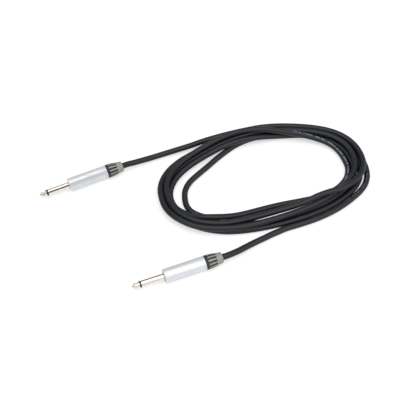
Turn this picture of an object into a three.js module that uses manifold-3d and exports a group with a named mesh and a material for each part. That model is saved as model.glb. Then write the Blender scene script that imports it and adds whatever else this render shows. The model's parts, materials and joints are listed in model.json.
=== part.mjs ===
// An instrument cable: two mono 6.35 mm phone plugs on one round cable, which lies in a
// flat oval coil.  Millimetres, +Z up, and the surface that it lies on is Z = 0.

import * as THREE from "three";
import { mergeVertices } from "three/addons/utils/BufferGeometryUtils.js";
import Module from "manifold-3d";

const wasm = await Module();
wasm.setup();

// ---------------------------------------------------------------- driving dimensions

const FINGER_R = 6.35 / 2; // the standard phone plug
const SHELL_R = 7.0; // to the flats of the shell's many sides
const CABLE_R = 3.0;
const GAP = 0.3; // between pieces that touch
const AXIS_HEIGHT = SHELL_R; // each plug lies on a flat of its shell

// Distances along a plug from the point of its tip.
const TIP_END = 7.8;
const SLEEVE_FRONT = 9.0;
const SHELL_FRONT = 31.0;
const SHELL_REAR = 71.2;
const BOOT_FRONT = SHELL_REAR + GAP;
const BOOT_END = 88.2;
const LEAD_START = BOOT_END + GAP;

// Radii inside the shell.
const SHELL_BORE_R = 5.9;
const SHELL_MOUTH_R = 5.2;
const ROD_R = 1.2;
const CORE_TUBE_R = 2.15;
const CHUCK_BORE_R = CABLE_R + GAP;
const BOOT_BORE_R = 3.5; // slides along the jacket as the boot unscrews

// The boot's thread, drawn as rings, and its grip strips.
const THREAD_PITCH = 1.25;
const THREAD_RINGS = 4;
const GRIP_STRIPS = 12;
const GRIP_WIDTH = 1.25;
const GRIP_DEPTH = 0.9;
const GRIP_END = 82.3;
const GRIP_BAND_END = 73.7;

// Where each plug lies: the tip's place, the way it points back along its own axis, and
// how far its boot is turned, in degrees.
const PLUG_A = { x: -91.06, y: 30.88, heading: 25, gripTurn: -2 };
const PLUG_B = { x: 6.94, y: -70.82, heading: 20.6, gripTurn: 8 };

// ---------------------------------------------------------------- materials

function surface(color, roughness, metalness) {
  return new THREE.MeshStandardMaterial({ color, roughness, metalness });
}

const nickel = surface(0xcdc6bb, 0.12, 1.0);
const satinMetal = surface(0xc9ccd2, 0.38, 1.0);
const brass = surface(0xb8964e, 0.35, 1.0);
const copper = surface(0xb8694a, 0.4, 1.0);
const blackPlastic = surface(0x1b1b1c, 0.45, 0.0);
const clearPlastic = surface(0xd9d6cb, 0.4, 0.0);
const greyBoot = surface(0x8f8f87, 0.55, 0.0);
const darkGrip = surface(0x2c2e31, 0.6, 0.0);
const jacket = surface(0x1c1d1f, 0.5, 0.0);

// ---------------------------------------------------------------- shape helpers

function meshFrom(points, faces) {
  const geometry = new THREE.BufferGeometry();
  geometry.setAttribute("position", new THREE.Float32BufferAttribute(points.flat(), 3));
  geometry.setIndex(faces.flat());
  return geometry;
}

// Turns a closed profile of [along, radius] points about the X axis.  The profile lists its
// outer line rearwards, and a point of radius 0 closes it on the axis.  Radii are to the
// flats, and a flat faces straight down.
function turned(profile, sides) {
  const points = [];
  const rings = profile.map(([along, radius]) => {
    const first = points.length;
    if (radius === 0) {
      points.push([along, 0, 0]);
      return () => first;
    }
    const corner = radius / Math.cos(Math.PI / sides);
    for (let i = 0; i < sides; i += 1) {
      const angle = ((i + 0.5) / sides) * 2 * Math.PI - Math.PI / 2;
      points.push([along, corner * Math.cos(angle), corner * Math.sin(angle)]);
    }
    return (i) => first + (i % sides);
  });
  const onAxis = profile.map(([, radius]) => radius === 0);
  const faces = [];
  profile.forEach((_, k) => {
    const next = (k + 1) % profile.length;
    for (let i = 0; i < sides; i += 1) {
      if (!onAxis[k]) {
        faces.push([rings[k](i), rings[k](i + 1), rings[next](i)]);
      }
      if (!onAxis[next]) {
        faces.push([rings[next](i), rings[k](i + 1), rings[next](i + 1)]);
      }
    }
  });
  return meshFrom(points, faces);
}

function block(x, y, z) {
  const geometry = new THREE.BoxGeometry(x[1] - x[0], y[1] - y[0], z[1] - z[0]);
  return geometry.translate((x[0] + x[1]) / 2, (y[0] + y[1]) / 2, (z[0] + z[1]) / 2);
}

function roundSection(radius, sides) {
  const corners = [];
  for (let i = 0; i < sides; i += 1) {
    const angle = ((i + 0.5) / sides) * 2 * Math.PI;
    corners.push(new THREE.Vector2(radius * Math.cos(angle), radius * Math.sin(angle)));
  }
  return new THREE.Shape(corners);
}

function tubeAlong(points, radius, sides, steps) {
  const path = new THREE.CatmullRomCurve3(points.map((p) => new THREE.Vector3(...p)));
  return new THREE.ExtrudeGeometry(roundSection(radius, sides), { extrudePath: path, steps });
}

function solid(geometry) {
  geometry.deleteAttribute("normal");
  geometry.deleteAttribute("uv");
  const merged = mergeVertices(geometry);
  return new wasm.Manifold(
    new wasm.Mesh({
      numProp: 3,
      vertProperties: Float32Array.from(merged.attributes.position.array),
      triVerts: Uint32Array.from(merged.index.array),
    }),
  );
}

function geometryOf(manifold) {
  const mesh = manifold.getMesh();
  const geometry = new THREE.BufferGeometry();
  geometry.setAttribute("position", new THREE.BufferAttribute(mesh.vertProperties, 3));
  geometry.setIndex(new THREE.BufferAttribute(mesh.triVerts, 1));
  return geometry;
}

// ---------------------------------------------------------------- the contacts

function tipContact() {
  const waist = 2.15;
  const bore = ROD_R + GAP;
  const boreEnd = 5.3;
  return turned(
    [
      [0, 0],
      [0.15, 0.55],
      [0.5, 0.95],
      [2.9, 3.0],
      [3.3, FINGER_R],
      [3.8, FINGER_R],
      [4.7, waist],
      [5.6, waist],
      [6.6, 3.0],
      [6.9, FINGER_R],
      [TIP_END, FINGER_R],
      [TIP_END, bore],
      [boreEnd, bore],
      [boreEnd, 0],
    ],
    24,
  );
}

function tipRod() {
  return turned([[5.6, 0], [5.6, ROD_R], [44.0, ROD_R], [44.0, 0]], 12);
}

function insulatorRing() {
  const front = TIP_END + 0.2;
  const rear = SLEEVE_FRONT - 0.2;
  const bore = ROD_R + GAP;
  return turned([[front, bore], [front, 3.15], [rear, 3.15], [rear, bore]], 24);
}

function coreTube() {
  const front = SLEEVE_FRONT + 0.1;
  const bore = ROD_R + GAP;
  return turned([[front, bore], [front, CORE_TUBE_R], [42.2, CORE_TUBE_R], [42.2, bore]], 16);
}

function sleeve() {
  const bore = CORE_TUBE_R + GAP;
  const rear = 36.8;
  return turned(
    [
      [SLEEVE_FRONT, bore],
      [SLEEVE_FRONT, FINGER_R - 0.1],
      [SLEEVE_FRONT + 0.15, FINGER_R],
      [rear, FINGER_R],
      [rear, bore],
    ],
    24,
  );
}

function frontCollar() {
  const bore = FINGER_R + GAP;
  const faceR = SHELL_MOUTH_R - GAP;
  const flangeFront = 33.3;
  const rear = 34.5;
  return turned(
    [
      [31.7, bore],
      [31.7, faceR - 0.25],
      [31.95, faceR],
      [flangeFront, faceR],
      [flangeFront, 5.6],
      [rear, 5.6],
      [rear, bore],
    ],
    32,
  );
}

// ---------------------------------------------------------------- inside the shell

const INSERT_FRONT = 35.6;
const INSERT_REAR = 50.5;
const TRAY_FRONT = 41.8; // behind it the insert is an open tray for the lugs
const SLEEVE_TAIL = { halfWidth: 1.1, low: -4.5, high: -4.0, rear: 49.5 };

function sleeveLug() {
  const bore = FINGER_R + GAP;
  const washer = turned([[34.8, bore], [34.8, 5.1], [35.3, 5.1], [35.3, bore]], 24);
  const tail = block(
    [35.0, SLEEVE_TAIL.rear],
    [-SLEEVE_TAIL.halfWidth, SLEEVE_TAIL.halfWidth],
    [SLEEVE_TAIL.low, SLEEVE_TAIL.high],
  );
  return geometryOf(solid(washer).add(solid(tail)));
}

function insertBody() {
  const sleeveBore = FINGER_R + GAP;
  const tubeBore = CORE_TUBE_R + GAP;
  const trayR = 4.95;
  const body = turned(
    [
      [INSERT_FRONT, sleeveBore],
      [INSERT_FRONT, 5.5],
      [INSERT_REAR, 5.5],
      [INSERT_REAR, trayR],
      [TRAY_FRONT, trayR],
      [TRAY_FRONT, tubeBore],
      [37.1, tubeBore],
      [37.1, sleeveBore],
    ],
    24,
  );
  const slotHalf = SLEEVE_TAIL.halfWidth + GAP;
  const tailSlot = block(
    [INSERT_FRONT - 1, TRAY_FRONT + 0.5],
    [-slotHalf, slotHalf],
    [SLEEVE_TAIL.low - GAP, SLEEVE_TAIL.high + GAP],
  );
  const trayMouth = block([42.6, INSERT_REAR + 1], [-3.6, 3.6], [0.6, 7]);
  return geometryOf(solid(body).subtract(solid(tailSlot)).subtract(solid(trayMouth)));
}

function tipLug() {
  const bore = ROD_R + GAP;
  const washer = turned([[42.6, bore], [42.6, 2.6], [43.1, 2.6], [43.1, bore]], 16);
  const tail = block([42.8, 48.0], [-0.9, 0.9], [-2.2, -1.8]);
  return geometryOf(solid(washer).add(solid(tail)));
}

function clampChuck() {
  const front = INSERT_REAR + 0.4;
  const rear = 67.0;
  const body = turned(
    [
      [front, CHUCK_BORE_R],
      [front, 5.5],
      [54.5, 5.5],
      [54.5, 4.9],
      [62.5, 4.9],
      [rear, 3.75],
      [rear, CHUCK_BORE_R],
    ],
    24,
  );
  const slotAcross = block([55.5, rear + 1], [-7, 7], [-0.45, 0.45]);
  const slotUpright = block([55.5, rear + 1], [-0.45, 0.45], [-7, 7]);
  return geometryOf(solid(body).subtract(solid(slotAcross)).subtract(solid(slotUpright)));
}

// ---------------------------------------------------------------- shell, boot and grip ring

function shell() {
  const lipRear = 33.0;
  return turned(
    [
      [SHELL_FRONT, SHELL_MOUTH_R],
      [SHELL_FRONT, SHELL_R - 0.65],
      [SHELL_FRONT + 0.65, SHELL_R],
      [SHELL_REAR - 0.5, SHELL_R],
      [SHELL_REAR, SHELL_R - 0.5],
      [SHELL_REAR, SHELL_BORE_R],
      [lipRear, SHELL_BORE_R],
      [lipRear, SHELL_MOUTH_R],
    ],
    32,
  );
}

const BOOT_SIDES = 36;
const BAND_FLOOR_R = 5.65; // the boot under the grip ring's band

// The boot's outer line behind the band.
const BOOT_TAPER = [
  [77.6, 6.8],
  [81.0, 6.2],
  [84.7, 5.62],
];

function taperRadius(along) {
  const [start, end] = BOOT_TAPER.slice(1);
  return start[1] + ((along - start[0]) / (end[0] - start[0])) * (end[1] - start[1]);
}

// Bars through the plug's axis: what they share with a skin of the boot are its strips.
function gripBars(halfWidth, end, gripTurn) {
  const bars = [];
  for (let i = 0; i < GRIP_STRIPS / 2; i += 1) {
    const bar = block([GRIP_BAND_END - 0.5, end], [-halfWidth, halfWidth], [-9, 9]);
    const angle = gripTurn + (i * 360) / GRIP_STRIPS;
    bars.push(solid(bar.rotateX(THREE.MathUtils.degToRad(angle))));
  }
  return bars.reduce((all, bar) => all.add(bar));
}

function gripRing(gripTurn) {
  const [front, middle] = BOOT_TAPER;
  const endR = taperRadius(GRIP_END);
  const skin = turned(
    [
      [BOOT_FRONT, BAND_FLOOR_R + GAP],
      [BOOT_FRONT, 6.7],
      [BOOT_FRONT + 0.3, 6.95],
      [GRIP_BAND_END, 6.95],
      [front[0], front[1]],
      [middle[0], middle[1]],
      [GRIP_END, endR],
      [GRIP_END, endR - GRIP_DEPTH],
      [middle[0], middle[1] - GRIP_DEPTH],
      [front[0], front[1] - GRIP_DEPTH],
    ],
    BOOT_SIDES,
  );
  const band = turned(
    [
      [BOOT_FRONT - 1, 0],
      [BOOT_FRONT - 1, 9],
      [GRIP_BAND_END, 9],
      [GRIP_BAND_END, 0],
    ],
    BOOT_SIDES,
  );
  const kept = solid(band).add(gripBars(GRIP_WIDTH / 2, GRIP_END, gripTurn));
  return geometryOf(solid(skin).intersect(kept));
}

function threadRings(rootR, crestR, front) {
  const line = [];
  for (let i = 0; i < THREAD_RINGS; i += 1) {
    const start = front + i * THREAD_PITCH;
    line.push([start, rootR], [start + 0.35, crestR], [start + 0.6, crestR], [start + 0.95, rootR]);
  }
  return line;
}

function boot(gripTurn) {
  const spigotFront = 64.0;
  const spigotR = 5.3;
  const body = turned(
    [
      [spigotFront, 4.85],
      [spigotFront, spigotR],
      ...threadRings(spigotR, 5.65, spigotFront + 0.8),
      [BOOT_FRONT, spigotR],
      [BOOT_FRONT, BAND_FLOOR_R],
      [GRIP_BAND_END + GAP, BAND_FLOOR_R],
      [GRIP_BAND_END + GAP, 6.88],
      ...BOOT_TAPER,
      [BOOT_END - 0.9, 5.35],
      [BOOT_END, 4.7],
      [BOOT_END, BOOT_BORE_R],
      [68.0, BOOT_BORE_R],
      [68.0, 4.0],
    ],
    BOOT_SIDES,
  );
  const [front, middle] = BOOT_TAPER;
  const floor = GRIP_DEPTH + GAP;
  const grooveEnd = GRIP_END + GAP;
  const skin = turned(
    [
      [GRIP_BAND_END, BAND_FLOOR_R],
      [GRIP_BAND_END, 9],
      [grooveEnd, 9],
      [grooveEnd, taperRadius(grooveEnd) - floor],
      [middle[0], middle[1] - floor],
      [front[0], front[1] - floor],
    ],
    BOOT_SIDES,
  );
  const grooves = solid(skin).intersect(gripBars(GRIP_WIDTH / 2 + GAP, grooveEnd + 1, gripTurn));
  return geometryOf(solid(body).subtract(grooves));
}

// ---------------------------------------------------------------- the cable's ends in a plug

const JACKET_FRONT = 51.5;

function jacketEnd() {
  return turned(
    [
      [JACKET_FRONT, 0],
      [JACKET_FRONT, CABLE_R],
      [BOOT_END, CABLE_R],
      [BOOT_END, 0],
    ],
    16,
  );
}

function coreEnd() {
  const rear = JACKET_FRONT - GAP;
  const insulation = turned([[48.6, 0], [48.6, 1.3], [rear, 1.3], [rear, 0]], 12);
  const conductor = tubeAlong(
    [
      [50.0, 0, 0],
      [48.4, 0, 0],
      [47.0, 0, -0.7],
      [46.0, 0, -0.95],
      [44.6, 0, -1.0],
    ],
    0.5,
    8,
    10,
  );
  return geometryOf(solid(insulation).add(solid(conductor)));
}

function shieldTail() {
  return tubeAlong(
    [
      [JACKET_FRONT - GAP, 0, -2.2],
      [50.2, 0, -2.4],
      [48.9, 0, -3.0],
      [47.5, 0, -3.15],
      [45.5, 0, -3.15],
    ],
    0.55,
    8,
    10,
  );
}

// ---------------------------------------------------------------- a whole plug

function plug(letter, place) {
  const pieces = [
    ["tip_contact", tipContact(), nickel],
    ["tip_rod", tipRod(), brass],
    ["insulator_ring", insulatorRing(), blackPlastic],
    ["core_tube", coreTube(), clearPlastic],
    ["sleeve", sleeve(), nickel],
    ["front_collar", frontCollar(), nickel],
    ["sleeve_lug", sleeveLug(), brass],
    ["insert_body", insertBody(), blackPlastic],
    ["tip_lug", tipLug(), brass],
    ["clamp_chuck", clampChuck(), blackPlastic],
    ["shell", shell(), satinMetal],
    ["boot", boot(place.gripTurn), greyBoot],
    ["grip_ring", gripRing(place.gripTurn), darkGrip],
    ["jacket_end", jacketEnd(), jacket],
    ["core_end", coreEnd(), clearPlastic],
    ["shield_tail", shieldTail(), copper],
  ];
  const group = new THREE.Group();
  group.position.set(place.x, place.y, AXIS_HEIGHT);
  group.rotation.z = THREE.MathUtils.degToRad(place.heading);
  pieces.forEach(([name, geometry, material]) => {
    const mesh = new THREE.Mesh(geometry, material);
    mesh.name = `plug_${letter}_${name}`;
    group.add(mesh);
  });
  return group;
}

// ---------------------------------------------------------------- the coil

// The coil's outer line is an oval, between an ellipse and a rounded box.
const OVAL = { x: 133.35, y: 55.55, long: 105, wide: 58, turn: 16, power: 2.2 };
const COIL_START = 120; // degrees round the oval, and the cable runs clockwise from there
const LOOP_RINGS = 24;
const LANE_STEP = 30; // degrees from one pair of a lane to the next
const COIL_SIDES = 6;
const COIL_PITCH = 6.5; // least distance between the centres of two turns

// Each turn's lane: at every 30 degrees, how far inside the oval the cable's centre lies,
// and how high.  A centre at 3 rests on the floor, at 9 on one turn, and at 15 on two.
const LANES = [
  [[-8.5, 5], [-3.6, 6.4], [-0.6, 8.6], [-1.4, 9], [-1.2, 9], [0.2, 13.6]],
  [[7, 13.8], [12.8, 4.4], [4.8, 9], [4.6, 7.4], [2.6, 8.6], [3.8, 9]],
  [[2.9, 8.7], [-0.2, 15.8], [10.4, 9], [13, 4.5], [14.6, 3], [10, 3]],
  [[14, 3], [21.7, 3], [14, 3], [7, 5.6], [7.2, 3], [9.5, 4.3]],
  [[10.4, 5.2], [6.6, 10], [5.4, 3], [7, 3], [8.9, 3], [7, 3]],
  [[5, 3], [5.8, 3], [8, 3], [14.8, 3], [22, 3], [23.8, 3]],
  [[21.6, 3], [4, 3], [-0.8, 3], [1, 3], [2.9, 3], [-0.4, 3]],
  [[-0.2, 3], [0.8, 3], [-0.4, 3], [2, 3], [0.6, 3], [3.6, 3]],
  [[5.2, 3.4], [2.4, 8.8], [5, 8.8], [5.2, 9], [6.4, 9], [7.2, 8.8]],
  [[7.8, 9.2], [4.2, 8.9], [-0.6, 9], [-1, 8.9], [-0.6, 8.6], [-0.4, 5.5]],
  [[-0.6, 3], [-1.8, 3], [-4.8, 3], [-4.8, 3], [-3, 3], [-7.6, 3]],
  [[-3, 3], [-4.2, 3]],
].flat();

function signedPower(value, power) {
  return Math.sign(value) * Math.abs(value) ** power;
}

// The point that lies a given distance inside the oval, at a given angle round it.
function insideOval(degrees, inset) {
  const angle = THREE.MathUtils.degToRad(degrees);
  const turn = THREE.MathUtils.degToRad(OVAL.turn);
  const along = signedPower(Math.cos(angle), 2 / OVAL.power) * OVAL.long;
  const across = signedPower(Math.sin(angle), 2 / OVAL.power) * OVAL.wide;
  const slopeAlong = signedPower(Math.cos(angle), 2 - 2 / OVAL.power) / OVAL.long;
  const slopeAcross = signedPower(Math.sin(angle), 2 - 2 / OVAL.power) / OVAL.wide;
  const slope = Math.hypot(slopeAlong, slopeAcross);
  const u = along - (inset * slopeAlong) / slope;
  const v = across - (inset * slopeAcross) / slope;
  const x = OVAL.x + u * Math.cos(turn) - v * Math.sin(turn);
  const y = OVAL.y + u * Math.sin(turn) + v * Math.cos(turn);
  return [x, y];
}

// A lane's value half way between pair k and pair k + 1, on a smooth curve through them.
function halfWay(k, item) {
  const last = LANES.length - 1;
  const [before, here, next, after] = [k - 1, k, k + 1, k + 2].map(
    (i) => LANES[Math.min(Math.max(i, 0), last)][item],
  );
  return (9 * (here + next) - before - after) / 16;
}

function laidCoil() {
  const perLane = (LANE_STEP * LOOP_RINGS) / 360;
  const points = [];
  for (let i = 0; i <= (LANES.length - 1) * perLane; i += 1) {
    const k = Math.floor(i / perLane);
    const [inset, height] = i % perLane === 0 ? LANES[k] : [halfWay(k, 0), halfWay(k, 1)];
    const [x, y] = insideOval(COIL_START - (i * 360) / LOOP_RINGS, inset);
    points.push(new THREE.Vector3(x, y, Math.max(CABLE_R, height)));
  }
  return points;
}

// Where two straight steps of the cable come nearest: how far along each, and the way
// from the second to the first.
function nearest(points, i, j) {
  const alongI = points[i + 1].clone().sub(points[i]);
  const alongJ = points[j + 1].clone().sub(points[j]);
  const between = points[i].clone().sub(points[j]);
  const a = alongI.dot(alongI);
  const b = alongI.dot(alongJ);
  const c = alongI.dot(between);
  const e = alongJ.dot(alongJ);
  const f = alongJ.dot(between);
  const { clamp } = THREE.MathUtils;
  const spread = a * e - b * b;
  let s = spread > 1e-9 ? clamp((b * f - c * e) / spread, 0, 1) : 0.5;
  const t = clamp((b * s + f) / e, 0, 1);
  s = clamp((b * t - c) / a, 0, 1);
  const way = between.addScaledVector(alongI, s).addScaledVector(alongJ, -t);
  return { s, t, way };
}

// Lets the laid coil settle: its heights even out, it keeps near its lanes, nothing sinks
// into the floor, and turns that come closer than the pitch push each other apart.
function settle(points, rounds) {
  const laid = points.map((p) => p.clone());
  const pairs = [];
  for (let i = 0; i < points.length - 1; i += 1) {
    for (let j = i + 3; j < points.length - 1; j += 1) {
      if (nearest(points, i, j).way.length() < 4 * COIL_PITCH) {
        pairs.push([i, j]);
      }
    }
  }
  for (let round = 0; round < rounds; round += 1) {
    const ease = 1 - round / rounds;
    const heights = points.map((p) => p.z);
    points.slice(1, -1).forEach((p, k) => {
      p.z += 0.1 * ease * ((heights[k] + heights[k + 2]) / 2 - heights[k + 1]);
    });
    points.forEach((p, k) => p.lerp(laid[k], 0.03 * ease));
    pushApart(points, pairs);
    pushApart(points, pairs);
  }
}

function pushApart(points, pairs) {
  const moves = points.map(() => ({ sum: new THREE.Vector3(), weight: 0 }));
  pairs.forEach(([i, j]) => {
    const { s, t, way } = nearest(points, i, j);
    const short = COIL_PITCH - way.length();
    if (short > 0) {
      way.setLength(0.45 * short);
      const shares = [[i, 1 - s], [i + 1, s], [j, t - 1], [j + 1, -t]];
      shares.forEach(([k, share]) => {
        moves[k].sum.addScaledVector(way, share);
        moves[k].weight += Math.abs(share);
      });
    }
  });
  points.forEach((p, k) => {
    p.addScaledVector(moves[k].sum, 1 / Math.max(moves[k].weight, 1));
    p.z = Math.max(p.z, CABLE_R);
  });
}

// One closed tube with flat ends, its rings square to the way that the cable runs.
function loopTube(points) {
  const up = new THREE.Vector3(0, 0, 1);
  const last = points.length - 1;
  const rings = points.flatMap((centre, k) => {
    const before = points[Math.max(k - 1, 0)];
    const run = points[Math.min(k + 1, last)].clone().sub(before).normalize();
    const aside = up.clone().cross(run).normalize();
    const over = run.clone().cross(aside);
    return Array.from({ length: COIL_SIDES }, (_, i) => {
      const angle = ((i + 0.5) / COIL_SIDES) * 2 * Math.PI;
      return centre
        .clone()
        .addScaledVector(aside, CABLE_R * Math.cos(angle))
        .addScaledVector(over, CABLE_R * Math.sin(angle))
        .toArray();
    });
  });
  const faces = [];
  for (let k = 0; k < last; k += 1) {
    for (let i = 0; i < COIL_SIDES; i += 1) {
      const here = k * COIL_SIDES + i;
      const beside = k * COIL_SIDES + ((i + 1) % COIL_SIDES);
      faces.push([here, beside, beside + COIL_SIDES], [here, beside + COIL_SIDES, here + COIL_SIDES]);
    }
  }
  for (let i = 1; i < COIL_SIDES - 1; i += 1) {
    const end = last * COIL_SIDES;
    faces.push([0, i + 1, i], [end, end + i, end + i + 1]);
  }
  return meshFrom(rings, faces);
}

// ---------------------------------------------------------------- the leads

// The middle of each free stretch, by hand: from the boot down to the floor and on to the coil.
const LEAD_A_ROUTE = [
  [0.95, 73.35, 6.4],
  [8.55, 77.2, 4.95],
  [16.85, 81.1, 3.8],
  [25.15, 84.8, 3.3],
  [33.45, 88.0, 3.5],
  [41.75, 90.7, 4.4],
];
const LEAD_B_ROUTE = [
  [104.55, -32.6, 6.0],
  [111.25, -28.1, 4.8],
  [117.85, -23.7, 3.7],
  [124.65, -19.6, 3.1],
  [131.45, -15.95, 3.0],
  [137.6, -12.5, 3.0],
];
const LEAD_SIDES = 10;
const LEAD_STEPS = 10;

function plugPoint(place, along) {
  const heading = THREE.MathUtils.degToRad(place.heading);
  return [place.x + along * Math.cos(heading), place.y + along * Math.sin(heading), AXIS_HEIGHT];
}

// The whole centre line of one lead, from its boot to the coil's nearer end.
function leadRoute(place, middle, coilEnd, coilNext) {
  const away = coilEnd.clone().sub(coilNext).normalize();
  return [
    plugPoint(place, LEAD_START),
    plugPoint(place, LEAD_START + 2 * CABLE_R),
    ...middle,
    coilEnd.clone().addScaledVector(away, GAP + 2 * CABLE_R).toArray(),
    coilEnd.clone().addScaledVector(away, GAP).toArray(),
  ];
}

// The least gap of the whole cable to itself, on points every 1.5 mm of its centre line.
function leastGap(routes) {
  const spacing = 1.5;
  const line = new THREE.CurvePath();
  const corners = routes.flat().map((p) => new THREE.Vector3(...p));
  for (let i = 0; i < corners.length - 1; i += 1) {
    line.add(new THREE.LineCurve3(corners[i], corners[i + 1]));
  }
  const length = line.getLength();
  const points = line.getSpacedPoints(Math.round(length / spacing));
  const apart = Math.round((8 * CABLE_R) / spacing);
  let least = Infinity;
  for (let i = 0; i < points.length; i += 1) {
    for (let j = i + apart; j < points.length; j += 1) {
      least = Math.min(least, points[i].distanceTo(points[j]));
    }
  }
  return { gap: least - 2 * CABLE_R, length };
}

// ---------------------------------------------------------------- the object

const coilPoints = laidCoil();
settle(coilPoints, 400);
const routeA = leadRoute(PLUG_A, LEAD_A_ROUTE, coilPoints[0], coilPoints[1]);
const routeB = leadRoute(PLUG_B, LEAD_B_ROUTE, coilPoints.at(-1), coilPoints.at(-2));
const measured = leastGap([routeA, coilPoints.map((p) => p.toArray()), routeB.toReversed()]);
console.log(`cable: least gap to itself ${measured.gap.toFixed(2)} mm`);
console.log(`cable: ${measured.length.toFixed(0)} mm between the boots`);

const group = new THREE.Group();
group.add(plug("a", PLUG_A), plug("b", PLUG_B));
[
  ["cable_lead_a", tubeAlong(routeA, CABLE_R, LEAD_SIDES, LEAD_STEPS)],
  ["cable_coil", loopTube(coilPoints)],
  ["cable_lead_b", tubeAlong(routeB, CABLE_R, LEAD_SIDES, LEAD_STEPS)],
].forEach(([name, geometry]) => {
  const mesh = new THREE.Mesh(geometry, jacket);
  mesh.name = name;
  group.add(mesh);
});

export default group;
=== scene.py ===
import json
import math

import bmesh
import bpy
import numpy as np
from mathutils import Matrix, Vector


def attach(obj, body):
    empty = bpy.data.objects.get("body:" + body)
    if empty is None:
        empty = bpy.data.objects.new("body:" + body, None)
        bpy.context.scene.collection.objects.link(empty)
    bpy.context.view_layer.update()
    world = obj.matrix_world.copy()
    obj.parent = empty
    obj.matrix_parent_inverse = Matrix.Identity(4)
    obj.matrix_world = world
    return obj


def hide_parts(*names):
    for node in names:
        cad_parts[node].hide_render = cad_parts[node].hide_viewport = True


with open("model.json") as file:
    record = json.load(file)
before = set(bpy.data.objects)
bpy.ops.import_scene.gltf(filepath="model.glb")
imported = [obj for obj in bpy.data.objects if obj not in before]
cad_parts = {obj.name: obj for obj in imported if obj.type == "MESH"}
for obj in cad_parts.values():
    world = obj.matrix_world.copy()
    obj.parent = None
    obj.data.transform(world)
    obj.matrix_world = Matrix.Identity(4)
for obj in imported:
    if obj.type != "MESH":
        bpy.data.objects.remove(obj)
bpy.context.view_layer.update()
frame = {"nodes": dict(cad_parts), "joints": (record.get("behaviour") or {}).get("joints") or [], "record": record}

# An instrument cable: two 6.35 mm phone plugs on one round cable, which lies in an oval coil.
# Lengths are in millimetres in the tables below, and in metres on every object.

MM = 0.001

# ------------------------------------------------------------------ the camera

LOOK_AT = Vector((69.0, 30.4, 0.0)) * MM
CAMERA_DISTANCE = 641.84 * MM
CAMERA_ELEVATION = math.radians(55.0)
CAMERA_LENS = 57.47  # on Blender's own 36 mm sensor


def make_camera():
    camera = bpy.data.objects.new("camera", bpy.data.cameras.new("camera"))
    bpy.context.scene.collection.objects.link(camera)
    camera.data.lens = CAMERA_LENS
    back = Vector((0.0, -math.cos(CAMERA_ELEVATION), math.sin(CAMERA_ELEVATION)))
    camera.location = LOOK_AT + back * CAMERA_DISTANCE
    camera.rotation_euler = (math.pi / 2 - CAMERA_ELEVATION, 0.0, 0.0)
    bpy.context.scene.camera = camera


make_camera()

# ------------------------------------------------------------------ where the plugs lie

HINGE_ALONG = 80.0  # the boot's hinge, from the tip
PLUG_LETTERS = "ab"


def plug_placement(letter):
    """The matrix from a plug's own frame, which runs back from its tip along +X, to the row's."""
    joint = next(j for j in frame["joints"] if j["name"] == f"boot_{letter}_unscrew")
    axis = Vector(joint["axis"]).normalized()
    tip = Vector(joint["pos_m"]) - axis * HINGE_ALONG * MM
    heading = math.atan2(axis.y, axis.x)
    return Matrix.Translation(tip) @ Matrix.Rotation(heading, 4, "Z")


PLACES = {letter: plug_placement(letter) for letter in PLUG_LETTERS}
GRIP_TURN = {"a": -2.0, "b": 8.0}  # degrees that each boot is turned

# ------------------------------------------------------------------ driving dimensions

CABLE_R = 3.0
FINGER_R = 3.175
TIP_END = 7.6
ROD_BORE_R = 1.5
RING_R = 3.12
RING_GAP = 0.02  # between the black ring and what lies before and behind it
SLEEVE_FRONT = 9.2
SLEEVE_END = 36.8
SLEEVE_BORE_R = 2.45
SHELL_FRONT = 31.0
SHELL_SHOULDER = 33.0
SHELL_REAR = 71.2
SHELL_R = 7.0
SHELL_BORE_R = 5.9
SHELL_MOUTH_R = 5.2
JACKET_FRONT = 51.5
BOOT_FRONT = 71.5
BOOT_END = 88.2
BOOT_BORE_R = 3.5
SEAM = 85.0  # inside the boot, where the plug's piece of jacket meets the free cable
GRIP_BAND_END = 73.7
GRIP_END = 82.3
GRIP_WIDTH = 1.9
GRIP_STRIPS = 12

# ------------------------------------------------------------------ the cable's route

# The coil's outer line is an oval, between an ellipse and a rounded box.
OVAL = {"x": 133.35, "y": 55.55, "long": 105.0, "wide": 58.0, "turn": 16.0, "power": 2.2}
COIL_START = 120  # degrees round the oval, and the cable runs clockwise from there
LANE_STEP = 30
STEPS_PER_LANE = 4
PITCH = 6.03  # least distance between the centres of two turns

# The cable's lane, half a turn to a row: at every 30 degrees, how far inside the oval its
# centre lies, and how high.  A centre at 3 rests on the floor, at 9 on one turn, at 15 on two.
LANES = [
    [(-9.7, 5), (-3.6, 6.4), (-0.6, 8.6), (-1.4, 9), (-1.2, 9), (0.2, 13.6)],
    [(7, 13.8), (12.8, 4.4), (5.2, 9), (4.6, 7.4), (2.6, 8.6), (3.8, 9)],
    [(2.9, 8.7), (-0.2, 15.8), (10.4, 9), (13, 4.5), (14.6, 3), (10, 3)],
    [(14, 3), (21.7, 3), (14, 3), (7, 5.6), (7.2, 3), (9.5, 4.3)],
    [(10.4, 5.2), (6.6, 10), (5.4, 3), (7, 3), (8.9, 3), (7, 3)],
    [(5, 3), (5.8, 3), (8, 3), (14.8, 3), (22, 3), (23.8, 3)],
    [(21.6, 3), (4, 3), (-0.8, 3), (1, 3), (2.9, 3), (-0.4, 3)],
    [(-0.2, 3), (0.8, 3), (-0.4, 3), (2, 3), (0.6, 3), (3.6, 3)],
    [(5.2, 3.4), (2.4, 8.8), (5, 8.8), (5.2, 9), (6.4, 9), (7.2, 8.8)],
    [(7.8, 9.2), (4.2, 8.9), (-0.6, 9), (-1, 8.9), (-0.6, 8.6), (-0.4, 5.5)],
    [(-0.6, 3), (-1.8, 3), (-4.8, 3), (-4.8, 3), (-3, 3), (-8.2, 3)],
    [(-3, 3), (-5.5, 3)],
]

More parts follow.
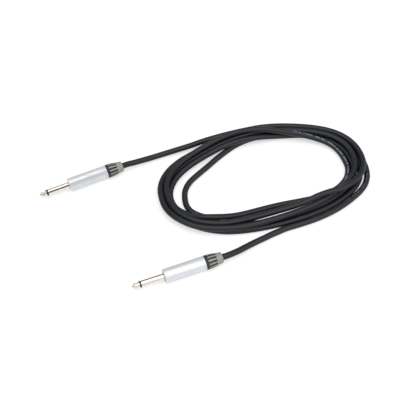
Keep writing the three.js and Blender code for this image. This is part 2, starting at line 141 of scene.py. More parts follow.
# The free stretches, from the boot down to the floor and on to the coil.
LEAD_A = [
    (0.95, 73.35, 6.4),
    (8.55, 77.2, 4.95),
    (16.85, 81.1, 3.8),
    (25.15, 84.8, 3.3),
    (33.45, 88.0, 3.5),
    (41.75, 90.7, 4.4),
    (51.5, 93.9, 5.5),
]
LEAD_B = [
    (104.55, -32.6, 6.0),
    (111.25, -28.1, 4.8),
    (117.85, -23.7, 3.7),
    (124.65, -19.6, 3.1),
    (131.45, -15.95, 3.0),
    (137.6, -12.5, 3.0),
    (144.6, -9.1, 3.0),
]

# How firmly the cable is held where it was laid while it settles: 1 is fixed, 0 is free.
LEAD_HOLD = 0.3
COIL_HOLD = 0.03
SETTLE_ROUNDS = 300
SMOOTHING = np.array([0.02, 0.02, 0.3])  # how much of a bend each round takes out, in x, y, z
PUSH_SHARE = 0.45  # how much of a missing distance each of two close steps makes good
STEPS_APART = 4  # steps that lie closer along the cable don't push each other
PUSH_REACH = 4 * PITCH  # nor do steps that were laid further from each other
CURVE_STEPS = 8  # straight steps in which the smooth line is measured between two points


def signed_power(value, power):
    return math.copysign(abs(value) ** power, value)


def inside_oval(degrees, inset):
    """The point that lies a given distance inside the oval, at a given angle round it."""
    angle, turn = math.radians(degrees), math.radians(OVAL["turn"])
    power = OVAL["power"]
    along = signed_power(math.cos(angle), 2 / power) * OVAL["long"]
    across = signed_power(math.sin(angle), 2 / power) * OVAL["wide"]
    slope = Vector(
        (
            signed_power(math.cos(angle), 2 - 2 / power) / OVAL["long"],
            signed_power(math.sin(angle), 2 - 2 / power) / OVAL["wide"],
        )
    ).normalized()
    u, v = along - inset * slope.x, across - inset * slope.y
    x = OVAL["x"] + u * math.cos(turn) - v * math.sin(turn)
    y = OVAL["y"] + u * math.sin(turn) + v * math.cos(turn)
    return x, y


def on_curve(values, k, f):
    """A smooth curve through values (Catmull-Rom), a fraction f beyond item k."""
    last = len(values) - 1
    before, here, after, beyond = (values[min(max(i, 0), last)] for i in range(k - 1, k + 3))
    rise, fall = (after - before) / 2, (beyond - here) / 2
    return (
        here
        + rise * f
        + (3 * (after - here) - 2 * rise - fall) * f**2
        + (2 * (here - after) + rise + fall) * f**3
    )


def laid_coil():
    """The coil's points as first laid, on a smooth curve through the lanes."""
    lanes = np.array([pair for row in LANES for pair in row], float)
    points = []
    for i in range((len(lanes) - 1) * STEPS_PER_LANE + 1):
        k, step = divmod(i, STEPS_PER_LANE)
        inset, height = on_curve(lanes, k, step / STEPS_PER_LANE)
        degrees = COIL_START - i * LANE_STEP / STEPS_PER_LANE
        points.append((*inside_oval(degrees, inset), max(CABLE_R, height)))
    return points


def plug_point(letter, along):
    return tuple(PLACES[letter] @ Vector((along * MM, 0, 0)) / MM)


def laid_cable():
    """The whole cable from boot to boot as first laid, and how firmly each point is held."""
    start = [plug_point("a", s) for s in (SEAM, BOOT_END, BOOT_END + 2 * CABLE_R)]
    end = [plug_point("b", s) for s in (BOOT_END + 2 * CABLE_R, BOOT_END, SEAM)]
    coil = laid_coil()
    points = np.array(start + LEAD_A + coil + LEAD_B[::-1] + end)
    hold_start = [1.0] * len(start) + [LEAD_HOLD] * len(LEAD_A)
    hold_end = [LEAD_HOLD] * len(LEAD_B) + [1.0] * len(end)
    return points, np.array(hold_start + [COIL_HOLD] * len(coil) + hold_end)


def nearest(points, i, j):
    """Where straight steps i and j of the cable come nearest: how far along each, and the way
    from the second to the first."""
    along_i, along_j = points[i + 1] - points[i], points[j + 1] - points[j]
    between = points[i] - points[j]
    a = (along_i * along_i).sum(1)
    b = (along_i * along_j).sum(1)
    c = (along_i * between).sum(1)
    e = (along_j * along_j).sum(1)
    f = (along_j * between).sum(1)
    spread = a * e - b * b
    s = np.clip((b * f - c * e) / np.maximum(spread, 1e-9), 0, 1)
    t = np.clip((b * s + f) / e, 0, 1)
    s = np.clip((b * t - c) / a, 0, 1)
    return s, t, between + along_i * s[:, None] - along_j * t[:, None]


def push_apart(points, i, j):
    """Pushes those of steps i and j that lie closer than the pitch away from each other."""
    s, t, way = nearest(points, i, j)
    distance = np.linalg.norm(way, axis=1)
    close = distance < PITCH
    i, j, s, t = i[close], j[close], s[close], t[close]
    push = way[close] / np.maximum(distance[close], 1e-6)[:, None]
    push *= PUSH_SHARE * (PITCH - distance[close])[:, None]
    moves, weight = np.zeros_like(points), np.zeros(len(points))
    for k, share in ((i, 1 - s), (i + 1, s), (j, t - 1), (j + 1, -t)):
        np.add.at(moves, k, push * share[:, None])
        np.add.at(weight, k, np.abs(share))
    points += moves / np.maximum(weight, 1)[:, None]
    points[:, 2] = np.maximum(points[:, 2], CABLE_R)


def settle(points, hold):
    """Lets the laid cable settle: its bends and heights even out, it keeps near its lanes,
    nothing sinks into the floor, and turns closer than the pitch push each other apart."""
    laid = points.copy()
    fixed = hold == 1
    loose = (1 - hold[1:-1])[:, None]
    i, j = np.triu_indices(len(points) - 1, STEPS_APART)
    near = np.linalg.norm(nearest(points, i, j)[2], axis=1) < PUSH_REACH
    i, j = i[near], j[near]
    for turn in range(SETTLE_ROUNDS):
        ease = 1 - turn / SETTLE_ROUNDS
        middle = (points[:-2] + points[2:]) / 2 - points[1:-1]
        points[1:-1] += loose * middle * SMOOTHING * ease
        points += (hold * np.where(fixed, 1, ease))[:, None] * (laid - points)
        push_apart(points, i, j)
        push_apart(points, i, j)
        points[fixed] = laid[fixed]


def resampled(points, spacing):
    """Points evenly spaced on a smooth curve through the given ones, and how far along each
    lies."""
    fine = []
    for k in range(len(points) - 1):
        fine += [on_curve(points, k, step / CURVE_STEPS) for step in range(CURVE_STEPS)]
    fine = np.array(fine + [points[-1]])
    lengths = np.concatenate([[0], np.cumsum(np.linalg.norm(np.diff(fine, axis=0), axis=1))])
    places = np.linspace(0, lengths[-1], round(lengths[-1] / spacing) + 1)
    return np.stack([np.interp(places, lengths, fine[:, axis]) for axis in range(3)], 1), places


# ------------------------------------------------------------------ mesh helpers

CORNER_STEPS = 4
CORNER_SHARE = 0.4  # the most of a side that the arc at either end of it may take


def link(name, mesh):
    piece = bpy.data.objects.new(name, mesh)
    bpy.context.scene.collection.objects.link(piece)
    return piece


def mesh_from(name, points, faces, sharp=30.0):
    """A smooth-shaded mesh from points in millimetres, with edges sharper than an angle kept."""
    mesh = bpy.data.meshes.new(name)
    mesh.from_pydata([tuple(c * MM for c in p) for p in points], [], faces)
    mesh.validate()
    mesh.shade_smooth()
    mesh.set_sharp_from_angle(angle=math.radians(sharp))
    return mesh


def rounded(profile, radius):
    """A profile with each corner off the axis turned into a small arc."""
    line = []
    for k, corner in enumerate(profile):
        here, before = Vector(corner), Vector(profile[k - 1])
        after = Vector(profile[(k + 1) % len(profile)])
        if here.y == 0:
            line.append(tuple(here))
            continue
        shorter = min((before - here).length, (after - here).length)
        reach = min(radius, CORNER_SHARE * shorter)
        start = here + (before - here).normalized() * reach
        end = here + (after - here).normalized() * reach
        for i in range(CORNER_STEPS + 1):
            f = i / CORNER_STEPS
            line.append(tuple((1 - f) ** 2 * start + 2 * f * (1 - f) * here + f**2 * end))
    return line


def turned(profile, sides=96):
    """Points and faces of a closed profile of (along, radius) turned about the X axis.  The
    profile lists its outer line rearwards, and radius 0 lies on the axis."""
    points, rings = [], []
    for along, radius in profile:
        first = len(points)
        if radius == 0:
            points.append((along, 0.0, 0.0))
            rings.append([first] * sides)
            continue
        for i in range(sides):
            angle = 2 * math.pi * i / sides
            points.append((along, radius * math.cos(angle), radius * math.sin(angle)))
        rings.append(list(range(first, first + sides)))
    faces = []
    for k, ring in enumerate(rings):
        after = rings[(k + 1) % len(rings)]
        for i in range(sides):
            corners = [ring[i], ring[(i + 1) % sides], after[(i + 1) % sides], after[i]]
            face = list(dict.fromkeys(corners))
            if len(face) > 2:
                faces.append(face)
    return points, faces


# ------------------------------------------------------------------ materials

NOISE_ROUGHNESS = 0.55
NOISE_LOW, NOISE_HIGH = 0.3, 0.7  # nearly all of a noise lies between these
DRAWN_ALONG = (0.06, 1.0, 1.0)  # draws a noise out along the plug
DRAWN_ROUND = (1.0, 0.015, 0.015)  # draws it out round the plug


def feed(tree, socket, value):
    """Links an output to a socket, or sets the socket to a plain value."""
    if isinstance(value, bpy.types.NodeSocket):
        tree.links.new(value, socket)
    else:
        socket.default_value = value


def add_node(tree, kind, inputs=None, **settings):
    """A new node with its settings, and its inputs by name or number."""
    node = tree.nodes.new(kind)
    for key, value in settings.items():
        setattr(node, key, value)
    for key, value in (inputs or {}).items():
        feed(tree, node.inputs[key], value)
    return node


class Shader:
    """A material's nodes, added one at a time."""

    def __init__(self, name, **constants):
        self.material = bpy.data.materials.new(name)
        self.material.use_nodes = True
        self.tree = self.material.node_tree
        self.surface = self.tree.nodes["Principled BSDF"]
        for socket, value in constants.items():
            self.set(socket.replace("_", " "), value)

    def node(self, kind, inputs=None, **settings):
        return add_node(self.tree, kind, inputs, **settings)

    def set(self, name, value):
        feed(self.tree, self.surface.inputs[name], value)

    def math(self, operation, first, second=0.0, third=0.0):
        inputs = {0: first, 1: second, 2: third}
        return self.node("ShaderNodeMath", inputs, operation=operation).outputs[0]

    def place(self, stretch):
        """Object coordinates in millimetres, stretched."""
        coordinates = self.node("ShaderNodeTexCoord").outputs["Object"]
        inputs = {"Vector": coordinates, "Scale": tuple(s / MM for s in stretch)}
        return self.node("ShaderNodeMapping", inputs).outputs[0]

    def noise(self, scale, detail, stretch=(1.0, 1.0, 1.0)):
        """A noise with so many features to a millimetre."""
        inputs = {
            "Vector": self.place(stretch),
            "Scale": scale,
            "Detail": detail,
            "Roughness": NOISE_ROUGHNESS,
        }
        return self.node("ShaderNodeTexNoise", inputs).outputs["Fac"]

    def spread(self, noise, low, high):
        """A noise turned into values that run from low to high."""
        inputs = {0: noise, 1: NOISE_LOW, 2: NOISE_HIGH, 3: low, 4: high}
        return self.node("ShaderNodeMapRange", inputs).outputs[0]

    def blend(self, factor, first, second):
        inputs = {0: factor, 6: first, 7: second}
        return self.node("ShaderNodeMix", inputs, data_type="RGBA").outputs[2]

    def clouded(self, noise, light, dark):
        """A colour that a noise clouds from light to dark."""
        return self.blend(self.spread(noise, 0, 1), light, dark)

    def bump(self, height, depth_mm, strength, normal=None):
        inputs = {"Height": height, "Strength": strength, "Distance": depth_mm * MM}
        if normal is not None:
            inputs["Normal"] = normal
        return self.node("ShaderNodeBump", inputs).outputs[0]


def linear(channel):
    """A channel as a photograph shows it, 0 to 255, turned into its share of light."""
    share = channel / 255
    return share / 12.92 if share <= 0.04045 else ((share + 0.055) / 1.055) ** 2.4


def rgb(*channels):
    """A colour written as a photograph shows it, for a shader."""
    return (*(linear(channel) for channel in channels), 1.0)


def nickel():
    """Polished plate, with the faint lines of its turning and of being plugged in."""
    shader = Shader("nickel_plate", Metallic=1.0)
    smudge = shader.noise(0.35, 4.0)
    shader.set("Base Color", shader.clouded(smudge, rgb(233, 228, 221), rgb(218, 211, 202)))
    shader.set("Roughness", shader.spread(smudge, 0.12, 0.2))
    scratches = shader.noise(0.8, 2.0, DRAWN_ALONG)
    shader.set("Normal", shader.bump(scratches, 0.003, 0.4))
    return shader.material


def satin_shell():
    """Satin plate over fine turned lines, a little duller and greyer where it is handled."""
    shader = Shader("satin_plate", Metallic=0.4)
    cloud = shader.noise(0.12, 4.0)
    shader.set("Base Color", shader.clouded(cloud, rgb(226, 228, 231), rgb(216, 219, 223)))
    shader.set("Roughness", shader.spread(cloud, 0.36, 0.45))
    lines = shader.noise(9.0, 3.0, DRAWN_ROUND)
    grain = shader.noise(14.0, 2.0)
    normal = shader.bump(lines, 0.003, 0.6)
    shader.set("Normal", shader.bump(grain, 0.004, 0.4, normal))
    return shader.material


def moulded(name, light, dark, roughness, grain_mm, depth_mm):
    """Moulded plastic or rubber: a clouded colour and a fine matte grain."""
    shader = Shader(name)
    cloud = shader.noise(0.25, 4.0)
    shader.set("Base Color", shader.clouded(cloud, light, dark))
    shader.set("Roughness", shader.spread(cloud, roughness - 0.05, roughness + 0.06))
    shader.set("Normal", shader.bump(shader.noise(1 / grain_mm, 3.0), depth_mm, 0.7))
    return shader.material


def plain_metal(name, light, dark, roughness):
    """Bare turned or drawn metal, dulled in clouds."""
    shader = Shader(name, Metallic=1.0)
    cloud = shader.noise(0.5, 4.0)
    shader.set("Base Color", shader.clouded(cloud, light, dark))
    shader.set("Roughness", shader.spread(cloud, roughness - 0.06, roughness + 0.08))
    shader.set("Normal", shader.bump(shader.noise(5.0, 3.0), 0.01, 0.6))
    return shader.material


# The cable's two printed stretches: how far along, how strong the ink is, and where round
# the cable it runs, in degrees: 0 to the left of the cable's run, 90 on top.
PRINTS = [
    {
        "from": 706.0,
        "to": 802.0,
        "ink": 0.8,
        "round": [(706, 78), (735, 98), (757, 118), (775, 95)],
    },
    {
        "from": 2767.0,
        "to": 2858.0,
        "ink": 0.3,
        "round": [(2767, 103), (2800, 95), (2830, 135)],
    },
]
# The dashes stop at two rates: how far apart, shifted by how much, and for how long.
DASH_STOPS = [(13.0, 0.0, 1.9), (8.2, 3.0, 1.1)]
DASH_HALF_HEIGHT = 0.62
INK = rgb(140, 150, 165)


def cable_jacket():
    """Satin black flexible jacket, with rub marks, a fine grain and pale printed dashes."""
    shader = Shader("cable_jacket", Specular_IOR_Level=0.42)
    cloud = shader.noise(0.06, 4.0)
    rub = shader.noise(0.9, 5.0)
    black = shader.clouded(cloud, rgb(22, 24, 31), rgb(15, 17, 23))
    line = shader.node("ShaderNodeAttribute", attribute_name="print_line").outputs["Vector"]
    along, aside, _ = shader.node("ShaderNodeSeparateXYZ", {0: line}).outputs
    inked = 0.0
    for stretch in PRINTS:
        after = shader.math("GREATER_THAN", along, stretch["from"])
        within = shader.math("MULTIPLY", after, shader.math("LESS_THAN", along, stretch["to"]))
        inked = shader.math("MULTIPLY_ADD", within, stretch["ink"], inked)
    for period, shift, stop in DASH_STOPS:
        phase = shader.math("MODULO", shader.math("ADD", along, shift), period)
        inked = shader.math("MULTIPLY", inked, shader.math("GREATER_THAN", phase, stop))
    inked = shader.math("MULTIPLY", inked, shader.math("LESS_THAN", aside, DASH_HALF_HEIGHT))
    inked = shader.math("MULTIPLY", inked, shader.spread(rub, 0.6, 1.0))
    shader.set("Base Color", shader.blend(inked, black, INK))
    shader.set("Roughness", shader.spread(rub, 0.42, 0.54))
    grain = shader.bump(shader.noise(4.0, 3.0), 0.012, 0.5)
    shader.set("Normal", shader.bump(cloud, 0.25, 0.5, grain))
    return shader.material


MATERIALS = {
    "nickel": nickel(),
    "satin_shell": satin_shell(),
    "brass_metal": plain_metal("turned_brass", rgb(205, 172, 104), rgb(180, 146, 82), 0.32),
    "copper_wire": plain_metal("bare_copper", rgb(205, 130, 92), rgb(170, 98, 66), 0.4),
    "black_plastic": moulded("black_plastic", rgb(25, 25, 27), rgb(18, 18, 20), 0.5, 0.5, 0.01),
    "clear_plastic": moulded(
        "natural_plastic", rgb(220, 216, 204), rgb(204, 199, 184), 0.38, 0.6, 0.01
    ),
    "grey_boot": moulded("grey_boot", rgb(156, 157, 151), rgb(146, 147, 141), 0.5, 0.25, 0.015),
    "dark_grip": moulded("dark_grip", rgb(38, 42, 46), rgb(30, 33, 36), 0.55, 0.2, 0.02),
    "cable_jacket": cable_jacket(),
}

# ------------------------------------------------------------------ the cable

RING_SPACING = 2.4
RING_SIDES = 24


def print_angle(along):
    """Where round the cable its print runs, in degrees."""
    nearest_print = min(PRINTS, key=lambda p: abs(along - (p["from"] + p["to"]) / 2))
    stations, angles = zip(*nearest_print["round"])
    return float(np.interp(along, stations, angles))


def cable_mesh(line, places):
    """A round tube along the line, and on it how far along and how far from its print each
    point lies."""
    runs = np.gradient(line, axis=0)
    runs /= np.linalg.norm(runs, axis=1)[:, None]
    asides = np.cross(np.array([0.0, 0.0, 1.0]), runs)
    asides /= np.linalg.norm(asides, axis=1)[:, None]
    overs = np.cross(runs, asides)
    angles = np.arange(RING_SIDES) * 2 * math.pi / RING_SIDES
    points, marks = [], []
    for centre, aside, over, along in zip(line, asides, overs, places):
        print_at = math.radians(print_angle(along))
        for angle in angles:
            points.append(centre + CABLE_R * (aside * math.cos(angle) + over * math.sin(angle)))
            off = abs((angle - print_at + math.pi) % (2 * math.pi) - math.pi)
            marks.append((along, off * CABLE_R, 0.0))
    faces = []
    last = (len(line) - 1) * RING_SIDES
    for k in range(len(line) - 1):
        for i in range(RING_SIDES):
            here, beside = k * RING_SIDES + i, k * RING_SIDES + (i + 1) % RING_SIDES
            faces.append((here, beside, beside + RING_SIDES, here + RING_SIDES))
    faces.append(tuple(range(RING_SIDES))[::-1])
    faces.append(tuple(range(last, last + RING_SIDES)))
    mesh = mesh_from("cable", points, faces, sharp=40.0)
    layer = mesh.attributes.new("print_line", "FLOAT_VECTOR", "POINT")
    layer.data.foreach_set("vector", np.array(marks, np.float32).ravel())
    return mesh


cable_points, cable_hold = laid_cable()
settle(cable_points, cable_hold)
cable_line, cable_places = resampled(cable_points, RING_SPACING)
cable = link("cable", cable_mesh(cable_line, cable_places))
cable.data.materials.append(MATERIALS["cable_jacket"])
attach(cable, "cable")
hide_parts("cable_lead_a", "cable_coil", "cable_lead_b")

# ------------------------------------------------------------------ the plugs' turned pieces

TIP = [
    (0.0, 0.0),
    (0.12, 0.45),
    (0.5, 0.95),
    (2.9, 3.0),
    (3.3, FINGER_R),
    (3.8, FINGER_R),
    (4.7, 2.15),
    (5.6, 2.15),
    (6.6, 3.0),
    (6.9, FINGER_R),
    (TIP_END, FINGER_R),
    (TIP_END, ROD_BORE_R),
    (5.3, ROD_BORE_R),
    (5.3, 0.0),
]
RING = [
    (TIP_END + RING_GAP, ROD_BORE_R),
    (TIP_END + RING_GAP, RING_R),
    (SLEEVE_FRONT - RING_GAP, RING_R),
    (SLEEVE_FRONT - RING_GAP, ROD_BORE_R),
]
SLEEVE = [
    (SLEEVE_FRONT, SLEEVE_BORE_R),
    (SLEEVE_FRONT, FINGER_R - 0.12),
    (SLEEVE_FRONT + 0.15, FINGER_R),
    (SLEEVE_END, FINGER_R),
    (SLEEVE_END, SLEEVE_BORE_R),
]
COLLAR = [
    (31.7, 3.3),
    (31.7, 4.65),
    (31.95, 5.0),
    (33.3, 5.0),
    (33.3, 5.6),
    (34.5, 5.6),
    (34.5, 3.3),
]
SHELL = [
    (SHELL_FRONT, SHELL_MOUTH_R),
    (SHELL_FRONT, SHELL_R - 0.65),
    (SHELL_FRONT + 0.65, SHELL_R),
    (SHELL_REAR - 0.5, SHELL_R),
    (SHELL_REAR, SHELL_R - 0.5),
    (SHELL_REAR, SHELL_BORE_R),
    (SHELL_SHOULDER, SHELL_BORE_R),
    (SHELL_SHOULDER, SHELL_MOUTH_R),
]
JACKET_END = [(JACKET_FRONT, 0.0), (JACKET_FRONT, CABLE_R), (SEAM, CABLE_R), (SEAM, 0.0)]

TURNED_PIECES = [
    # name, profile, radius of its edges, material
    ("tip_contact", TIP, 0.12, "nickel"),
    ("insulator_ring", RING, 0.08, "black_plastic"),
    ("sleeve", SLEEVE, 0.08, "nickel"),
    ("front_collar", COLLAR, 0.12, "nickel"),
    ("shell", SHELL, 0.16, "satin_shell"),
    ("jacket_end", JACKET_END, 0.1, "cable_jacket"),
]


def place_piece(letter, name, mesh, slot, body):
    """Puts a piece that stands for a solid of the same name in its plug."""
    piece = link(f"{name}_{letter}", mesh)
    piece.matrix_world = PLACES[letter]
    mesh.materials.append(MATERIALS[slot])
    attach(piece, body)
    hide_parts(f"plug_{letter}_{name}")


# ------------------------------------------------------------------ the boot

BOOT_OUTER = [(GRIP_BAND_END, 6.93), (77.6, 6.8), (81.0, 6.2), (84.7, 5.62), (87.3, 5.35)]
BOOT_SIDES = 144
BOOT_SHARP = 35.0  # degrees: steeper edges of the boot and its ring stay sharp
TAPER_ROWS = 24
WAIST_R = 5.65
BAND_R = 6.95
BAND_BORE_R = 5.71
BAND_EDGE_R = 0.12

SPIGOT_FRONT = 64.0
SPIGOT_R = 5.3  # at the root of its thread
THREAD_R = 5.68
THREAD_PITCH = 1.25
THREAD_FRONT = SPIGOT_FRONT + 0.4
THREAD_REAR = 70.6
THREAD_ROWS = 64
THREAD_FADE = 0.7  # the length over which it fades in and out at its ends
TOOTH_HEIGHT = 1.6  # a tooth is a ridge this high, cut off at 1 for its flat crest,
TOOTH_SLOPE = 4.6  # and this is how fast it falls on either side, for a pitch of 1

STRIP_FRONT = GRIP_BAND_END - 0.4
STRIP_PROUD = 0.01
STRIP_CROWN = 0.04
STRIP_DEPTH = 0.9
STRIP_GAP = 0.06
STRIP_COLUMNS = 8
STRIP_ROWS = 17  # as far as its round end
STRIP_END_ROWS = (15, 30, 45, 58, 70, 80, 87)  # degrees round the end
CUTTER_PROUD = 1.5


def boot_radius(along):
    stations, radii = zip(*BOOT_OUTER)
    return float(np.interp(along, stations, radii))


def kept_in_unit(value):
    return min(1.0, max(0.0, value))


def thread_radius(along, angle):
    """A right-hand thread's radius, at a place along the plug and an angle round it."""
    from_front, from_rear = along - THREAD_FRONT, THREAD_REAR - along
    phase = (from_front / THREAD_PITCH - angle / (2 * math.pi)) % 1.0
    tooth = kept_in_unit(TOOTH_HEIGHT - abs(phase - 0.5) * TOOTH_SLOPE)
    fade = kept_in_unit(from_front / THREAD_FADE) * kept_in_unit(from_rear / THREAD_FADE)
    return SPIGOT_R + (THREAD_R - SPIGOT_R) * tooth * fade


def boot_body_mesh():
    """The boot without its grooves: a threaded spigot, a waist under the band, and the taper.
    A place without a radius of its own is on the thread."""
    thread = np.linspace(THREAD_FRONT, THREAD_REAR, THREAD_ROWS)
    taper = np.linspace(GRIP_BAND_END + 0.6, 87.2, TAPER_ROWS)
    profile = [
        (SPIGOT_FRONT, 4.85),
        (SPIGOT_FRONT, 5.1),
        (SPIGOT_FRONT + 0.2, SPIGOT_R),
        *((along, None) for along in thread),
        (BOOT_FRONT - 0.3, SPIGOT_R),
        (BOOT_FRONT, SPIGOT_R),
        (BOOT_FRONT, WAIST_R),
        (GRIP_BAND_END + 0.06, WAIST_R),
        (GRIP_BAND_END + 0.06, 6.78),
        (GRIP_BAND_END + 0.2, 6.92),
        *((along, boot_radius(along)) for along in taper),
        (87.75, 5.24),
        (88.05, 5.02),
        (BOOT_END, 4.7),
        (BOOT_END, 3.75),
        (88.0, BOOT_BORE_R),
        (68.0, BOOT_BORE_R),
        (67.6, 4.0),
    ]
    points = []
    for along, radius in profile:
        for i in range(BOOT_SIDES):
            angle = 2 * math.pi * i / BOOT_SIDES
            r = thread_radius(along, angle) if radius is None else radius
            points.append((along, r * math.cos(angle), r * math.sin(angle)))
    faces = []
    for k in range(len(profile)):
        row, next_row = k * BOOT_SIDES, ((k + 1) % len(profile)) * BOOT_SIDES
        for i in range(BOOT_SIDES):
            side = (i + 1) % BOOT_SIDES
            faces.append((row + i, row + side, next_row + side, next_row + i))
    return mesh_from("boot", points, faces, BOOT_SHARP)


def strip_mesh(turn, half_width, end, proud, depth):
    """Bars all round that follow the boot's skin, each crowned and with a round rear end."""
    points, faces = [], []
    round_from = end - half_width
    alongs = list(np.linspace(STRIP_FRONT, round_from, STRIP_ROWS))
    alongs += [round_from + half_width * math.sin(math.radians(a)) for a in STRIP_END_ROWS]
    last = len(alongs) - 1
    edge = STRIP_COLUMNS
    for strip in range(GRIP_STRIPS):
        middle = math.radians(90 + turn + strip * 360 / GRIP_STRIPS)
        first = len(points)
        for along in alongs:
            inside = max(0.0, along - round_from)
            wide = math.sqrt(max(half_width**2 - inside**2, 1e-6))
            skin = boot_radius(along)
            for on_top in (True, False):
                for column in range(STRIP_COLUMNS + 1):
                    x = (2 * column / STRIP_COLUMNS - 1) * wide
                    crown = STRIP_CROWN * (1 - (x / half_width) ** 2)
                    r = skin + proud + crown if on_top else skin - depth
                    angle = middle + x / skin
                    points.append((along, r * math.cos(angle), r * math.sin(angle)))

        def at(k, layer, column):
            return first + (2 * k + layer) * (STRIP_COLUMNS + 1) + column

        for k in range(last):
            far = k + 1
            for column in range(STRIP_COLUMNS):
                side = column + 1
                top = at(k, 0, column), at(k, 0, side), at(far, 0, side), at(far, 0, column)
                low = at(k, 1, column), at(far, 1, column), at(far, 1, side), at(k, 1, side)
                faces += [top, low]
            faces.append((at(k, 0, 0), at(far, 0, 0), at(far, 1, 0), at(k, 1, 0)))
            faces.append((at(k, 0, edge), at(k, 1, edge), at(far, 1, edge), at(far, 0, edge)))
        for k in (0, last):
            for column in range(STRIP_COLUMNS):
                side = column + 1
                cap = at(k, 0, column), at(k, 1, column), at(k, 1, side), at(k, 0, side)
                faces.append(cap if k == 0 else cap[::-1])
    mesh = mesh_from("strips", points, faces, sharp=40.0)
    edit = bmesh.new()
    edit.from_mesh(mesh)
    bmesh.ops.recalc_face_normals(edit, faces=edit.faces)
    edit.to_mesh(mesh)
    edit.free()
    return mesh


def combined(first, second, operation):
    """The mesh of two closed meshes joined, or of the second cut from the first."""
    base, tool = link("base", first), link("tool", second)
    modifier = base.modifiers.new("boolean", "BOOLEAN")
    modifier.operation = operation
    modifier.object = tool
    modifier.solver = "EXACT"
    bpy.context.view_layer.update()
    result = bpy.data.meshes.new_from_object(
        base.evaluated_get(bpy.context.evaluated_depsgraph_get())
    )
    bpy.data.objects.remove(base)
    bpy.data.objects.remove(tool)
    result.shade_smooth()
    result.set_sharp_from_angle(angle=math.radians(BOOT_SHARP))
    return result


def band_mesh():
    """The dark ring behind the shell, without its strips."""
    profile = [
        (BOOT_FRONT, BAND_BORE_R),
        (BOOT_FRONT, BAND_R - 0.3),
        (BOOT_FRONT + 0.35, BAND_R),
        (GRIP_BAND_END, BAND_R),
        (GRIP_BAND_END, BAND_BORE_R),
    ]
    return mesh_from("band", *turned(rounded(profile, BAND_EDGE_R), BOOT_SIDES), BOOT_SHARP)


def make_boot(letter):
    """The grooved boot, and the ring with the strips that lie in its grooves."""
    turn, half_width, gap = GRIP_TURN[letter], GRIP_WIDTH / 2, STRIP_GAP
    cutters = strip_mesh(turn, half_width + gap, GRIP_END + gap, CUTTER_PROUD, STRIP_DEPTH + gap)
    body = combined(boot_body_mesh(), cutters, "DIFFERENCE")
    place_piece(letter, "boot", body, "grey_boot", f"boot_{letter}")
    strips = strip_mesh(turn, half_width, GRIP_END, STRIP_PROUD, STRIP_DEPTH)
    ring = combined(band_mesh(), strips, "UNION")
    place_piece(letter, "grip_ring", ring, "dark_grip", f"boot_{letter}")


for plug_letter in PLUG_LETTERS:
    for piece_name, outline, corner, piece_slot in TURNED_PIECES:
        piece_mesh = mesh_from(piece_name, *turned(rounded(outline, corner)))
        place_piece(plug_letter, piece_name, piece_mesh, piece_slot, "cable")
    make_boot(plug_letter)

# ------------------------------------------------------------------ the carried-over pieces

SLOT_OF = {part["node"]: part["material_slot"] for part in frame["record"]["subparts"]}
for node_name, node in frame["nodes"].items():
    node.data.materials.clear()
    node.data.materials.append(MATERIALS[SLOT_OF[node_name]])

# ------------------------------------------------------------------ floor, world and lamps

FLOOR_SIZE = 6.0  # metres
FLOOR_LIT = 0.8  # how pale the floor is for the light that it throws back at the object
FLOOR_SEEN = 0.6  # how pale it is where it is seen, with the object's shadow on it,
FLOOR_GLOW = 0.52  # and what is added there, so that it shows as white

WORLD_LIGHT = 0.62
# What reflections show of the studio is WHITE as far back as FALL_FROM, 0 to 1, and greys
# down to BACK_GREY at FALL_TO.
WHITE = 1.0
FALL_FROM, FALL_TO = 0.1, 0.8
BACK_GREY = 0.55

LAMPS = [
    # name, place in metres, width in metres, watts
    ("key", (-0.05, -0.15, 1.2), 1.3, 8.7),
    ("fill", (0.9, -0.5, 1.0), 1.0, 4.0),
]

FLAG_PLACE = Vector((-30.0, 7.0, 48.0)) * MM
FLAG_SIZE = Vector((110.0, 76.0)) * MM
FLAG_TURN = math.radians(25.0)
FLAG_GLOW = 0.06
FLAG_HIDDEN_FROM = ("camera", "diffuse", "transmission", "volume_scatter", "shadow")


def seen_directly(tree):
    """1 for what the camera, a reflection or a see-through surface shows, and 0 for light."""
    rays = add_node(tree, "ShaderNodeLightPath").outputs
    total = rays["Is Camera Ray"]
    for name in ("Is Glossy Ray", "Is Transmission Ray"):
        inputs = {0: total, 1: rays[name]}
        total = add_node(tree, "ShaderNodeMath", inputs, operation="MAXIMUM").outputs[0]
    return total


def emptied_tree(block):
    """A material's or world's node tree, with nothing in it."""
    block.use_nodes = True
    block.node_tree.nodes.clear()
    return block.node_tree


def level_sheet(name, size_x, size_y):
    """A level rectangle, and the empty node tree of its material."""
    x, y = size_x / 2, size_y / 2
    mesh = bpy.data.meshes.new(name)
    mesh.from_pydata([(-x, -y, 0), (x, -y, 0), (x, y, 0), (-x, y, 0)], [], [(0, 1, 2, 3)])
    material = bpy.data.materials.new(name)
    mesh.materials.append(material)
    return link(name, mesh), emptied_tree(material)


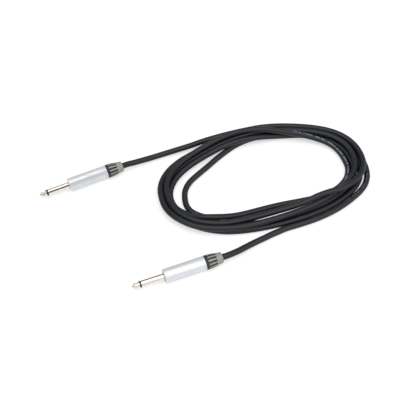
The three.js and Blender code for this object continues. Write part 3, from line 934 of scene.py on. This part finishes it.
def make_floor():
    """A plain floor, which shows as white except for the object's shadow."""
    floor, tree = level_sheet("floor", FLOOR_SIZE, FLOOR_SIZE)
    lit, pale = (
        add_node(tree, "ShaderNodeBsdfDiffuse", {"Color": (grey, grey, grey, 1.0)}).outputs[0]
        for grey in (FLOOR_LIT, FLOOR_SEEN)
    )
    glow = add_node(tree, "ShaderNodeEmission", {"Strength": FLOOR_GLOW}).outputs[0]
    shown = add_node(tree, "ShaderNodeAddShader", {0: pale, 1: glow}).outputs[0]
    inputs = {0: seen_directly(tree), 1: lit, 2: shown}
    mix = add_node(tree, "ShaderNodeMixShader", inputs).outputs[0]
    add_node(tree, "ShaderNodeOutputMaterial", {0: mix})


def make_world():
    """Even light, with white for the camera, and for reflections a white that greys towards
    the back of the studio."""
    world = bpy.data.worlds.new("studio")
    bpy.context.scene.world = world
    tree = emptied_tree(world)
    light = add_node(tree, "ShaderNodeBackground", {"Strength": WORLD_LIGHT}).outputs[0]
    direction = add_node(tree, "ShaderNodeTexCoord").outputs["Generated"]
    to_back = add_node(tree, "ShaderNodeSeparateXYZ", {0: direction}).outputs["Y"]
    inputs = {0: to_back, 1: FALL_FROM, 2: FALL_TO, 3: WHITE, 4: BACK_GREY}
    fall = add_node(tree, "ShaderNodeMapRange", inputs).outputs[0]
    glossy = add_node(tree, "ShaderNodeLightPath").outputs["Is Glossy Ray"]
    strength = add_node(tree, "ShaderNodeMix", {0: glossy, 2: WHITE, 3: fall}).outputs[0]
    shown = add_node(tree, "ShaderNodeBackground", {"Strength": strength}).outputs[0]
    inputs = {0: seen_directly(tree), 1: light, 2: shown}
    mix = add_node(tree, "ShaderNodeMixShader", inputs).outputs[0]
    add_node(tree, "ShaderNodeOutputWorld", {0: mix})


def make_lamps():
    for name, place, width, watts in LAMPS:
        lamp = bpy.data.objects.new(name, bpy.data.lights.new(name, "AREA"))
        bpy.context.scene.collection.objects.link(lamp)
        lamp.data.energy = watts
        lamp.data.size = width
        lamp.location = place
        aim = Vector(place) - LOOK_AT
        lamp.rotation_euler = aim.to_track_quat("Z", "Y").to_euler()


def make_flag():
    """A grey studio flag above the plugs, which only reflections show: it gives the polished
    metal a dark line and the satin shells a soft grey band."""
    flag, tree = level_sheet("flag", *FLAG_SIZE)
    flag.location = FLAG_PLACE
    flag.rotation_euler.z = FLAG_TURN
    for ray in FLAG_HIDDEN_FROM:
        setattr(flag, f"visible_{ray}", False)
    glow = add_node(tree, "ShaderNodeEmission", {"Strength": FLAG_GLOW}).outputs[0]
    add_node(tree, "ShaderNodeOutputMaterial", {0: glow})


make_floor()
make_world()
make_lamps()
make_flag()
bpy.context.scene.view_settings.view_transform = "Standard"
